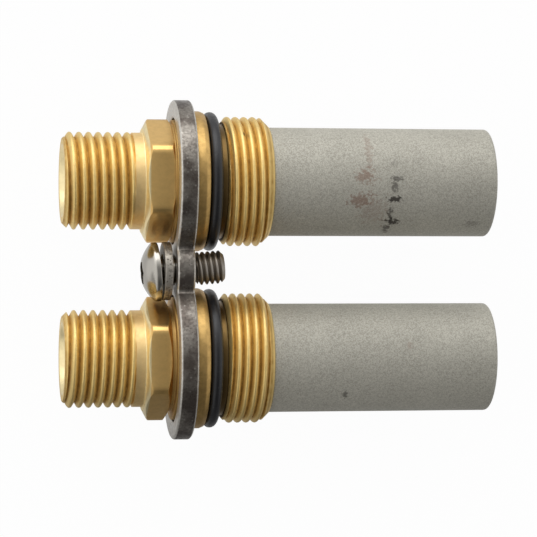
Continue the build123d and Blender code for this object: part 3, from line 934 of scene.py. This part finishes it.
def washer_material(name, centre):
    """Dull plated steel with dark pits, most of them around the middle of its rim."""
    w = Finish(name, centre, metallic=0.9)
    along = w.effect("Turned Coordinates", vector=w.vector)["Along"]
    waist = w.band(along, -0.25, 0.25, fade=0.15)
    pits = w.marks("Blotches", size=0.5, coverage=0.44, softness=0.06)
    spots = w.marks("Specks", spacing=0.32, share=0.75, reach=0.55)
    speckled = w.times(spots, w.total(0.15, (waist, 0.8)))
    dark = w.math("MULTIPLY_ADD", pits, 0.45, speckled, clamp=True)
    shade = w.mix(dark, "washer", "washer_pit")
    return w.coat(shade, w.ramp(dark, 0.0, 1.0, 0.42, 0.6), w.less(1.0, dark), depth=0.03)


def plain_metal(name, tint, centre, roughness):
    """Turned or drawn metal for the pieces inside."""
    dull_share = 0.6
    w = Finish(name, centre, metallic=1.0)
    axis, lines = w.turning(spacing=0.1)
    film = w.marks("Blotches", size=1.0, coverage=0.45, softness=0.2)
    base = getattr(bpy.context.scene.cartridge_colours, tint)
    dull = (*(value * dull_share for value in base[:3]), 1.0)
    shade = w.mix(film, tint, dull, share=0.5)
    return w.coat(shade, w.total(roughness, (lines, 0.15)), lines, depth=0.004)


# Pieces


def hexagon_places(name):
    """Places along X of the neck's start and of the hexagon's front and rear, on one body."""
    sizes = bpy.context.scene.cartridge_body
    hex_rear = sizes.collar_back - getattr(sizes, f"{name}_collar_length")
    hex_front = hex_rear - getattr(sizes, f"{name}_hex")
    return hex_front - sizes.inlet_neck_length, hex_front, hex_rear


def hexagon_radius(angle, half_flats, turned_radius):
    """Distance from the axis to a hexagon with turned corners, one of which points along +Y."""
    off_corner = (angle + pi / 6) % (pi / 3) - pi / 6
    return min(half_flats / cos(pi / 6 - abs(off_corner)), turned_radius)


def middle_of_body(name, body_root):
    """Neck, hexagon, collar, pilot, flange and O-ring neck, as one run of rings."""
    sizes = bpy.context.scene.cartridge_body
    neck_start, hex_front, hex_rear = hexagon_places(name)
    collar = getattr(sizes, f"{name}_collar")
    half_flats = sizes.across_flats / 2
    turned_radius = half_flats / cos(pi / 6) - sizes.corner_turning
    slope = tan(sizes.hex_chamfer_angle)
    chamfer = sizes.seat_chamfer
    seat_edge = [(-back * chamfer, sizes.flange - inward * chamfer) for back, inward in SEAT_EDGE]

    def outline_at(angle):
        radius = hexagon_radius(angle, half_flats, turned_radius)
        over_front = max(0.0, radius - sizes.hex_chamfer_start)
        over_rear = max(0.0, radius - collar)
        return [
            (neck_start, sizes.inlet_neck),
            (hex_front, sizes.inlet_neck),
            (hex_front, min(radius, sizes.hex_chamfer_start)),
            (hex_front + over_front * slope, radius),
            (hex_rear - over_rear * slope, radius),
            (hex_rear, min(radius, collar)),
            (hex_rear, collar),
            (sizes.collar_back, collar),
            (sizes.collar_back, sizes.pilot),
            (-sizes.flange_thickness, sizes.pilot),
            (-sizes.flange_thickness, sizes.flange),
            *seat_edge,
            (0.0, sizes.seal_neck),
            (sizes.seal_neck_length, sizes.seal_neck),
            (sizes.seal_neck_length, body_root),
        ]

    land_edge = pi / 6 - acos(half_flats / turned_radius)
    return ringed(outline_at, land_edge, sizes.edge_break)


def body_mesh(name, side):
    """One cartridge body, threads included; the fuel gas one is left-handed."""
    sizes = bpy.context.scene.cartridge_body
    inlet_face = body_box[0].x
    body_end = body_box[1].x
    inlet_root = sizes.inlet_crest - THREAD_DEPTH_SHARE * sizes.inlet_pitch
    body_root = sizes.body_crest - THREAD_DEPTH_SHARE * sizes.body_pitch
    neck_start = hexagon_places(name)[0]
    runout_start = neck_start - sizes.inlet_runout
    inlet_rim = sizes.inlet_crest - sizes.inlet_chamfer
    body_rim = sizes.body_crest - sizes.body_chamfer
    inlet_thread = threaded(
        inlet_face,
        neck_start,
        sizes.inlet_pitch,
        sizes.inlet_crest,
        sizes.inlet_crest_place,
        highest=[
            (inlet_face - sizes.inlet_pitch, inlet_rim - sizes.inlet_pitch),
            (inlet_face + sizes.inlet_chamfer, sizes.inlet_crest),
            (runout_start, sizes.inlet_crest),
            (neck_start - sizes.inlet_runout / 2, sizes.inlet_neck),
        ],
        lowest=[
            (inlet_face - sizes.inlet_pitch, 0.0),
            (inlet_face, inlet_root - sizes.inlet_chamfer),
            (inlet_face + sizes.inlet_chamfer, inlet_root),
            (runout_start, inlet_root),
            (neck_start, sizes.inlet_neck),
        ],
    )
    body_thread = threaded(
        sizes.seal_neck_length,
        body_end,
        sizes.body_pitch,
        sizes.body_crest,
        getattr(sizes, f"{name}_crest_place"),
        highest=[
            (sizes.seal_neck_length, body_root),
            (sizes.seal_neck_length + sizes.body_lead, sizes.body_crest),
            (body_end - sizes.body_chamfer, sizes.body_crest),
            (body_end + sizes.body_pitch, body_rim - sizes.body_pitch),
        ],
        lowest=[(sizes.seal_neck_length, 0.0)],
    )
    passage = [
        (inlet_face, inlet_rim),
        (inlet_face, sizes.mouth),
        (inlet_face + (sizes.mouth - sizes.bore) / tan(sizes.mouth_slope), sizes.bore),
        (sizes.screen_shoulder, sizes.bore),
        (sizes.screen_shoulder, sizes.port),
        (sizes.valve_seat, sizes.port),
        (sizes.valve_seat, sizes.chamber),
        (sizes.socket_floor, sizes.chamber),
        (sizes.socket_floor, sizes.socket),
        (body_end, sizes.socket),
        (body_end, body_rim),
    ]
    rounds = [0.0] + [sizes.edge_break] * (len(passage) - 2) + [0.0]
    bm = joined([inlet_thread, middle_of_body(name, body_root), body_thread, turned(passage, rounds)])
    bmesh.ops.scale(bm, vec=(1.0, side, 1.0), verts=bm.verts)
    move(bm, axis_point(side))
    return bm


class CARTRIDGE_OT_turn_bodies(bpy.types.Operator):
    """Turn and thread the two brass cartridge bodies"""

    bl_idname = "cartridge.turn_bodies"
    bl_label = "Turn Bodies"

    def execute(self, context):
        for name, side in SIDES:
            bm = body_mesh(name, side)
            material = brass_material(name, side)
            finished(f"{name}_threaded_body", bm, f"{name}_body", material)
        return {"FINISHED"}


class CARTRIDGE_OT_seat_o_rings(bpy.types.Operator):
    """Seat the black O-rings against the flanges"""

    bl_idname = "cartridge.seat_o_rings"
    bl_label = "Seat O-Rings"

    def execute(self, context):
        low, high = o_ring_box
        radius = (high.x - low.x) / 2
        for name, side in SIDES:
            centre = axis_point(side)
            bm = round_section(O_RING_POINTS, radius, ((low.x + high.x) / 2, high.z - radius, 0.0))
            sweep(bm, closed=True)
            move(bm, centre)
            material = rubber_material(f"{name} O-ring rubber", centre)
            finished(f"{name}_seal_ring", bm, f"{name}_body_o_ring", material)
        return {"FINISHED"}


class CARTRIDGE_OT_press_thimbles(bpy.types.Operator):
    """Press the sintered thimbles into the bodies"""

    bl_idname = "cartridge.press_thimbles"
    bl_label = "Press Thimbles"

    def execute(self, context):
        small = context.scene.cartridge_small
        low, high = thimble_box
        outer = high.z
        inner = outer - small.thimble_wall
        floor_x = high.x - small.thimble_end
        corners = [
            (high.x, 0.0),
            (high.x, outer),
            (small.thimble_shoulder, outer),
            (small.thimble_shoulder, small.thimble_spigot),
            (low.x, small.thimble_spigot),
            (low.x, inner),
            (floor_x, inner),
            (floor_x, 0.0),
        ]
        rounds = [0.0, small.thimble_round, *[small.thimble_edge] * 4, small.thimble_round, 0.0]
        for name, side in SIDES:
            bm = turned(corners, rounds, segments=6)
            move(bm, axis_point(side))
            material = sintered_material(name, side)
            node = f"{name}_arrestor_thimble"
            finished(f"{name}_sintered_thimble", bm, node, material)
        return {"FINISHED"}


class CARTRIDGE_OT_form_lock_plate(bpy.types.Operator):
    """Break the edges of the lock plate"""

    bl_idname = "cartridge.form_lock_plate"
    bl_label = "Form Lock Plate"

    def execute(self, context):
        small = context.scene.cartridge_small
        bm = bmesh.new()
        bm.from_mesh(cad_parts["lock_plate"].data)
        merge(bm)
        bmesh.ops.dissolve_limit(bm, angle_limit=FLAT_ANGLE, verts=bm.verts, edges=bm.edges)
        bmesh.ops.bevel(
            bm,
            geom=[edge for edge in bm.edges if edge.calc_face_angle(0.0) > small.plate_fold],
            offset=small.plate_edge,
            offset_type="OFFSET",
            segments=2,
            profile=0.5,
            affect="EDGES",
            clamp_overlap=True,
            material=-1,
        )
        finished("steel_lock_plate", bm, "lock_plate", plate_material("lock plate steel"))
        return {"FINISHED"}


class CARTRIDGE_OT_drive_lock_screw(bpy.types.Operator):
    """Make the captive screw that leans in the lock plate"""

    bl_idname = "cartridge.drive_lock_screw"
    bl_label = "Drive Lock Screw"

    def execute(self, context):
        small = context.scene.cartridge_small
        low, high = plate_box
        lean = small.screw_lean
        pivot = (low.x + high.x) / 2
        seat = (small.head_seat - pivot) / cos(lean)
        apex = seat - small.head_height
        tip = seat + small.screw_length
        plate_back = (high.x - pivot) / cos(lean)
        neck_end = plate_back + small.screw_crest * tan(lean) + small.neck_clearance
        tip_radius = small.screw_crest - small.tip_chamfer
        thread = threaded(
            neck_end,
            tip,
            small.screw_pitch,
            small.screw_crest,
            small.screw_crest_place,
            highest=[
                (neck_end, small.screw_neck),
                (neck_end + small.screw_lead, small.screw_crest),
                (tip - small.tip_chamfer, small.screw_crest),
                (tip + small.screw_pitch, tip_radius - small.screw_pitch),
            ],
            lowest=[(neck_end, 0.0)],
        )
        head = turned(*self.head_outline(small, apex, seat, neck_end))
        end = turned([(tip, tip_radius), (tip, 0.0)], [0.0, 0.0])
        bm = joined([thread, head, end])
        bmesh.ops.recalc_face_normals(bm, faces=bm.faces)
        bm = cut_away(bm, self.drive_cutter(small, apex))
        rotate(bm, lean, "Z")
        place = (pivot, 0.0, small.screw_height)
        move(bm, place)
        material = screw_material("lock screw steel", place, (0.0, 0.0, -lean))
        finished("captive_lock_screw", bm, "lock_screw", material)
        return {"FINISHED"}

    def head_outline(self, small, apex, seat, neck_end):
        """Corners and rounds of the domed head, its bearing face and its neck."""
        dome_height = small.head_height - small.head_rim
        dome_radius = (small.head_radius**2 + dome_height**2) / (2 * dome_height)
        dome_sweep = atan2(small.head_radius, dome_radius - dome_height)
        corners = []
        for index in range(DOME_POINTS + 1):
            angle = dome_sweep * index / DOME_POINTS
            corners.append((apex + dome_radius * (1 - cos(angle)), dome_radius * sin(angle)))
        corners += [(seat, small.head_radius), (seat, small.screw_neck), (neck_end, small.screw_neck)]
        rounds = [0.0] * DOME_POINTS + [small.head_round, small.head_edge, small.head_fillet, 0.0]
        return corners, rounds

    def drive_cutter(self, small, apex):
        """Hexagon that cuts the socket in the screw head, with one corner up."""
        bm = bmesh.new()
        corner = small.drive_width / 2 / cos(pi / 6)
        bmesh.ops.create_cone(
            bm, cap_ends=True, segments=6, radius1=corner, radius2=corner, depth=2 * small.drive_depth
        )
        rotate(bm, pi / 6, "Z")
        rotate(bm, pi / 2, "Y")
        move(bm, (apex, 0.0, 0.0))
        return bm


class CARTRIDGE_OT_coil_lock_washer(bpy.types.Operator):
    """Coil the split lock washer under the screw head"""

    bl_idname = "cartridge.coil_lock_washer"
    bl_label = "Coil Lock Washer"

    def execute(self, context):
        small = context.scene.cartridge_small
        low, high = washer_box
        outer = (high.y - low.y) / 2
        half = (high.x - low.x) / 2
        hole = small.washer_hole
        mean = (outer + hole) / 2
        split = small.washer_split / mean
        corners = [(-half, hole), (half, hole), (half, outer), (-half, outer)]
        bm = outline(corners, [small.washer_round] * len(corners), closed=True)
        rotate(bm, split / 2 - pi / 2, "X")
        sweep(bm, angle=2 * pi - split)
        fill_ends(bm)
        twist = tan(small.washer_cut) / mean
        for vert in bm.verts:
            vert.co.rotate(Matrix.Rotation(vert.co.x * twist, 3, "X"))
        centre = Vector(((low.x + high.x) / 2, (low.y + high.y) / 2, small.screw_height))
        move(bm, centre)
        material = washer_material("lock washer steel", centre)
        finished("split_lock_washer", bm, "lock_washer", material)
        return {"FINISHED"}


class CARTRIDGE_OT_wind_springs(bpy.types.Operator):
    """Wind the closing springs, which on the real cartridges shorten as their valves open"""

    bl_idname = "cartridge.wind_springs"
    bl_label = "Wind Springs"

    def execute(self, context):
        small = context.scene.cartridge_small
        low, high = spring_box
        wire = small.spring_wire
        rise = high.x - low.x - 2 * wire
        steps = round(WIRE_STEPS_PER_TURN * small.spring_turns)
        for name, side in SIDES:
            centre = axis_point(side)
            bm = round_section(WIRE_POINTS, wire, (low.x + wire, high.z - wire, 0.0))
            sweep(bm, steps, 2 * pi * small.spring_turns, rise / steps)
            fill_ends(bm)
            move(bm, centre)
            material = plain_metal(f"{name} spring steel", "spring", centre, 0.2)
            node = f"{name}_valve_spring"
            spring = finished(f"{name}_closing_spring", bm, node, material)
            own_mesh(spring)
        return {"FINISHED"}


class CARTRIDGE_OT_finish_inner_parts(bpy.types.Operator):
    """Give the strainers and valves inside their metals and rubber"""

    bl_idname = "cartridge.finish_inner_parts"
    bl_label = "Finish Inner Parts"

    def execute(self, context):
        for name, side in SIDES:
            centre = axis_point(side)
            screen = plain_metal(f"{name} screen steel", "screen", centre, 0.3)
            inner_brass = plain_metal(f"{name} inner brass", "inner_brass", centre, 0.28)
            seal = rubber_material(f"{name} seal rubber", centre)
            for node, material in (
                ("strainer_screen", screen),
                ("strainer_ring", inner_brass),
                ("valve_poppet", inner_brass),
                ("poppet_seal", seal),
                ("spring_cage", inner_brass),
            ):
                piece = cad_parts[f"{name}_{node}"]
                piece.data.materials.clear()
                piece.data.materials.append(material)
        return {"FINISHED"}


class CARTRIDGE_OT_set_stage(bpy.types.Operator):
    """Set up the white floor, the soft lamp, the studio around and the camera"""

    bl_idname = "cartridge.set_stage"
    bl_label = "Set Stage"

    def execute(self, context):
        stage = context.scene.cartridge_stage
        self.lay_floor(cad_box[0].z - stage.floor_gap)
        self.light_world(stage.sky_level)
        self.hang_lamp(stage)
        self.place_camera(stage)
        context.scene.view_settings.view_transform = "Standard"
        return {"FINISHED"}

    def lay_floor(self, height):
        bm = bmesh.new()
        bmesh.ops.create_grid(bm, x_segments=1, y_segments=1, size=FLOOR_REACH)
        move(bm, (0.0, 0.0, height))
        mesh = bpy.data.meshes.new("floor")
        bm.to_mesh(mesh)
        bm.free()
        material = bpy.data.materials.new("white floor")
        material.use_nodes = True
        material.node_tree.nodes.clear()
        w = Wiring(material.node_tree)
        rays, seen = w.seen()
        glow = w.glow(w.add("ShaderNodeTexCoord").outputs["Object"], FLOOR_PAINTED_LIGHT)
        # Glossy rays see the floor's painted shadow and painted pool of light
        mirrored = w.times(rays["Is Glossy Ray"], w.math("MINIMUM", glow, 1.0))
        paint = w.add("ShaderNodeBsdfDiffuse", {"Color": FLOOR_PAINT}).outputs[0]
        strength = w.greater(seen, mirrored)
        light = w.add("ShaderNodeEmission", {"Color": WHITE, "Strength": strength}).outputs[0]
        share = w.times(w.greater(seen, rays["Is Glossy Ray"]), FLOOR_GLOW_SHARE)
        mixed = w.add("ShaderNodeMixShader", {0: share, 1: paint, 2: light}).outputs[0]
        w.add("ShaderNodeOutputMaterial", {"Surface": mixed})
        mesh.materials.append(material)
        floor_sheet = bpy.data.objects.new("floor", mesh)
        bpy.context.scene.collection.objects.link(floor_sheet)

    def light_world(self, level):
        world = bpy.data.worlds.new("studio")
        bpy.context.scene.world = world
        world.use_nodes = True
        world.node_tree.nodes.clear()
        w = Wiring(world.node_tree)
        rays, seen = w.seen()
        glow = w.times(w.glow(w.add("ShaderNodeTexCoord").outputs["Generated"], STUDIO_GLOW), level)
        studio = w.add("ShaderNodeBackground", {"Color": WHITE, "Strength": glow}).outputs[0]
        white = w.add("ShaderNodeBackground", {"Color": WHITE, "Strength": 1.0}).outputs[0]
        mixed = w.add("ShaderNodeMixShader", {0: seen, 1: studio, 2: white}).outputs[0]
        w.add("ShaderNodeOutputWorld", {"Surface": mixed})

    def hang_lamp(self, stage):
        data = bpy.data.lights.new("key_lamp", "AREA")
        data.shape = "SQUARE"
        data.size = stage.key_size
        data.energy = stage.key_power
        lamp = bpy.data.objects.new("key_lamp", data)
        offset = Vector(stage.key_place)
        lamp.location = Vector(stage.camera_target) + offset
        lamp.rotation_mode = "QUATERNION"
        lamp.rotation_quaternion = (-offset).to_track_quat("-Z", "Y")
        bpy.context.scene.collection.objects.link(lamp)

    def place_camera(self, stage):
        data = bpy.data.cameras.new("camera")
        data.sensor_width = SENSOR_WIDTH
        data.lens = stage.lens
        data.clip_start, data.clip_end = CAMERA_CLIP
        camera = bpy.data.objects.new("camera", data)
        yaw = stage.camera_yaw
        away = stage.camera_distance * Vector((-sin(yaw), 0.0, cos(yaw)))
        camera.location = Vector(stage.camera_target) + away
        camera.rotation_euler = (0.0, -yaw, 0.0)
        bpy.context.scene.collection.objects.link(camera)
        bpy.context.scene.camera = camera


OPERATORS = (
    CARTRIDGE_OT_turn_bodies,
    CARTRIDGE_OT_seat_o_rings,
    CARTRIDGE_OT_press_thimbles,
    CARTRIDGE_OT_form_lock_plate,
    CARTRIDGE_OT_drive_lock_screw,
    CARTRIDGE_OT_coil_lock_washer,
    CARTRIDGE_OT_wind_springs,
    CARTRIDGE_OT_finish_inner_parts,
    CARTRIDGE_OT_set_stage,
)


class CARTRIDGE_PT_panel(bpy.types.Panel):
    """Steps that build the cartridge set"""

    bl_label = "Arrestor Cartridges"
    bl_space_type = "VIEW_3D"
    bl_region_type = "UI"
    bl_category = "Cartridge"

    def draw(self, context):
        for operator in OPERATORS:
            self.layout.operator(operator.bl_idname)


PROPERTY_GROUPS = (
    ("cartridge_body", CartridgeBodySizes),
    ("cartridge_small", SmallPieceSizes),
    ("cartridge_colours", FinishColours),
    ("cartridge_stage", StageSettings),
)


def register():
    for name, group in PROPERTY_GROUPS:
        bpy.utils.register_class(group)
        setattr(bpy.types.Scene, name, PointerProperty(type=group))
    for item in (*OPERATORS, CARTRIDGE_PT_panel):
        bpy.utils.register_class(item)


def unregister():
    for item in reversed((*OPERATORS, CARTRIDGE_PT_panel)):
        bpy.utils.unregister_class(item)
    for name, group in reversed(PROPERTY_GROUPS):
        delattr(bpy.types.Scene, name)
        bpy.utils.unregister_class(group)


def main():
    register()
    bpy.ops.cartridge.turn_bodies()
    bpy.ops.cartridge.seat_o_rings()
    bpy.ops.cartridge.press_thimbles()
    bpy.ops.cartridge.form_lock_plate()
    bpy.ops.cartridge.drive_lock_screw()
    bpy.ops.cartridge.coil_lock_washer()
    bpy.ops.cartridge.wind_springs()
    bpy.ops.cartridge.finish_inner_parts()
    bpy.ops.cartridge.set_stage()


if __name__ == "__main__":
    main()
